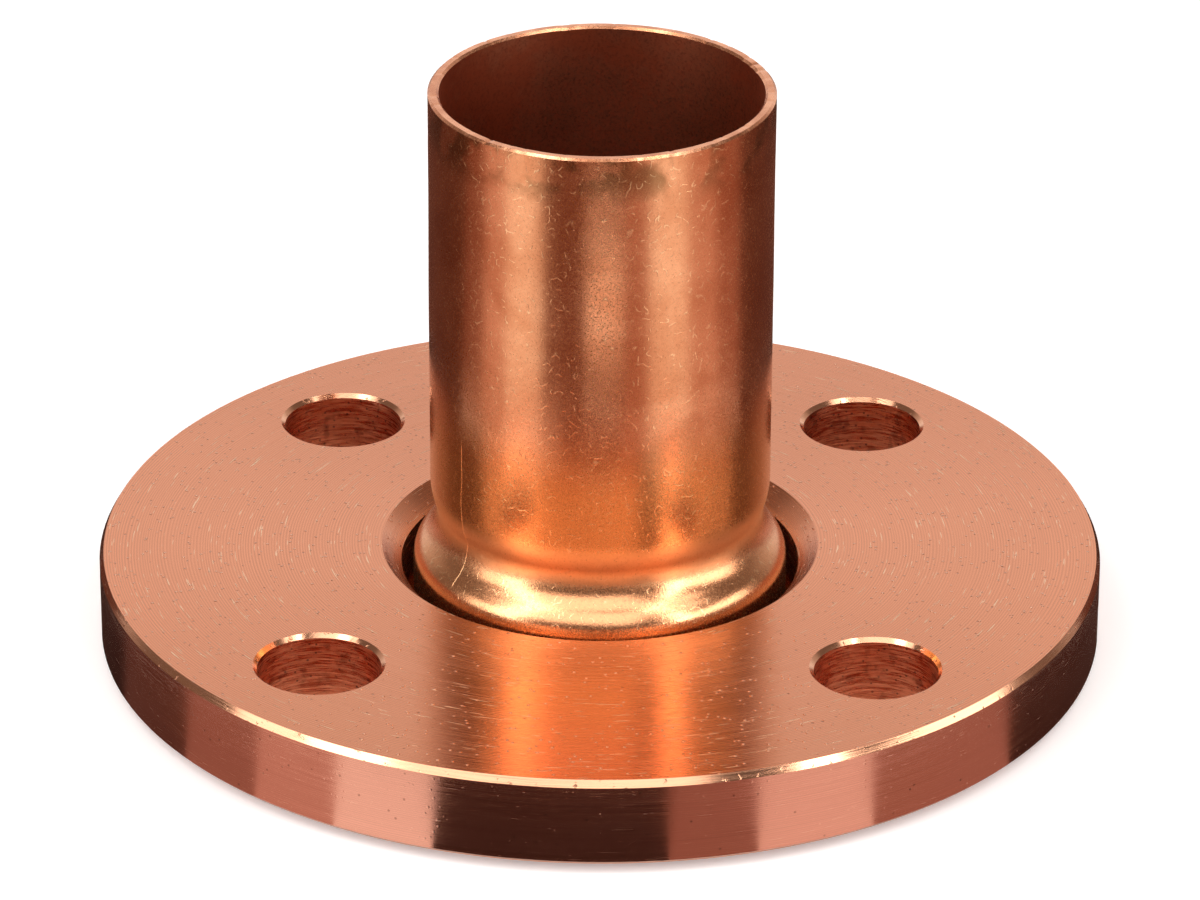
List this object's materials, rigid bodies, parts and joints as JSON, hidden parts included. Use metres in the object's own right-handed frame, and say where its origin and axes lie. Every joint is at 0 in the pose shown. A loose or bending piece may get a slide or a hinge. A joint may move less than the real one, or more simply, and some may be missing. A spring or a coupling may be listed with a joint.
{
  "type": "press-fit flange adapter",
  "caption": "Copper pipe flange adapter: a loose drilled ring flange on a flared tube stub with a plain press-fit spigot.",
  "frame": {"origin": "centre of the collar's gasket face, on the tube's axis", "axes": "+Z along the tube's axis towards the spigot's open end; the bolt holes straddle X and Y"},
  "size_m": [0.15, 0.15, 0.0885],
  "materials": {
    "tube_copper": "drawn copper tube, mottled with a light brown tarnish",
    "machined_copper": "bright turned copper with fine tool grooves"
  },
  "bodies": {
    "root": {"stub": "tube_copper", "flange": "machined_copper"}
  },
  "joints": []
}
